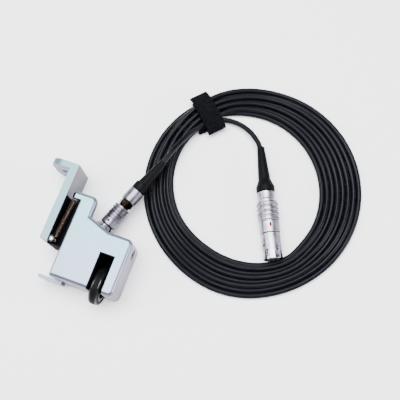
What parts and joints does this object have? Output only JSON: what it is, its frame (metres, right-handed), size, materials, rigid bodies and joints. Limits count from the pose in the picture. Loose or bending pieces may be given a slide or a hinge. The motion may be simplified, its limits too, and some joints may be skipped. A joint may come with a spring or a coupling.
{
  "type": "ultrasonic scanner wheel encoder",
  "caption": "Spring-loaded wheel encoder in a satin metal housing, sliding on an L-shaped bracket, with a push-pull plug, a coiled cable in a fabric tie and a second plug at its far end.",
  "frame": {"origin": "centre of the base of the box round housing, wheel and bracket, without cable and plugs, on the plane the back cover lies on", "axes": "+X across the housing towards the wheel side, +Y up the housing away from the wheel's tread, +Z from the back cover to the front face"},
  "size_m": [0.1946, 0.1764, 0.0264],
  "materials": {
    "satin_aluminium": "fine bead-blasted satin",
    "black_plastic": "smooth matte",
    "rubber_seal": "matte",
    "steel": "fine turned",
    "dark_steel": "dull machined",
    "spring_steel": "drawn wire, faintly browned",
    "black_anodised": "black anodised, smooth",
    "bright_aluminium": "bright turned",
    "tyre_rubber": "matte, faint grain",
    "board_green": "solder-mask gloss",
    "wire_grey": "smooth",
    "nickel": "satin nickel plating",
    "insulator": "smooth matte",
    "brass": "turned",
    "index_red": "enamel",
    "boot_rubber": "smooth matte",
    "cable_jacket": "satin sheen",
    "tie_fabric": "hook and loop pile"
  },
  "bodies": {
    "housing": {"housing": "satin_aluminium", "rear_cover": "satin_aluminium", "cover_gasket": "rubber_seal", "cover_screws": "steel", "wheel_well_liner": "black_plastic", "side_plug": "dark_steel", "stop_plate": "dark_steel", "stop_plate_screws": "steel", "guide_rail": "steel", "rail_screws": "steel", "spring_post": "dark_steel", "return_spring": "spring_steel", "left_bearing_outer": "steel", "left_bearing_balls": "steel", "right_bearing_outer": "steel", "right_bearing_balls": "steel", "circuit_board": "board_green", "angle_sensor": "black_plastic", "board_header": "black_plastic", "board_screws": "steel", "signal_wires": "wire_grey", "socket_shell": "nickel", "socket_nut": "nickel", "socket_seal": "rubber_seal", "socket_insert": "insulator", "socket_contacts": "brass"},
    "wheel": {"wheel_hub": "black_anodised", "wheel_tyre": "tyre_rubber", "wheel_shaft": "steel", "hub_circlip": "steel", "magnet_holder": "bright_aluminium", "sensor_magnet": "steel", "left_bearing_inner": "steel", "right_bearing_inner": "steel"},
    "bracket": {"bracket": "satin_aluminium", "slide_block": "black_plastic", "block_screws": "steel", "spring_screw": "dark_steel"},
    "harness": {"near_plug_body": "nickel", "near_plug_insert": "insulator", "near_plug_pins": "brass", "near_collet": "brass", "near_collet_nut": "nickel", "near_boot": "boot_rubber", "cable_lead_in": "cable_jacket", "cable_coil": "cable_jacket", "cable_tie": "tie_fabric", "cable_lead_out": "cable_jacket", "far_boot": "boot_rubber", "far_collet_nut": "nickel", "far_collet": "brass", "far_plug_body": "nickel", "far_plug_insert": "insulator", "far_plug_contacts": "brass"},
    "near_sleeve": {"near_plug_sleeve": "nickel", "near_index_dot": "index_red"},
    "far_sleeve": {"far_plug_sleeve": "nickel", "far_index_mark": "index_red"}
  },
  "joints": [
    {"name": "bracket_slide", "type": "slide", "parent": "housing", "child": "bracket", "axis": [0, -1, 0], "range_m": [0, 0.018], "stiffness_N_per_m": 180, "springref_m": -0.02, "deforming": ["return_spring"]},
    {"name": "wheel_spin", "type": "hinge", "parent": "housing", "child": "wheel", "pos_m": [0.02265, -0.0268, 0.0134], "axis": [1, 0, 0], "continuous": true},
    {"name": "plug_pull", "type": "slide", "parent": "housing", "child": "harness", "axis": [0.342, 0.9397, 0], "range_m": [0, 0.012]},
    {"name": "near_sleeve_slide", "type": "slide", "parent": "harness", "child": "near_sleeve", "axis": [0.342, 0.9397, 0], "range_m": [0, 0.0015], "stiffness_N_per_m": 800, "springref_m": -0.001},
    {"name": "far_sleeve_slide", "type": "slide", "parent": "harness", "child": "far_sleeve", "axis": [-0.4067, 0.9135, 0], "range_m": [0, 0.0015], "stiffness_N_per_m": 800, "springref_m": -0.001}
  ]
}
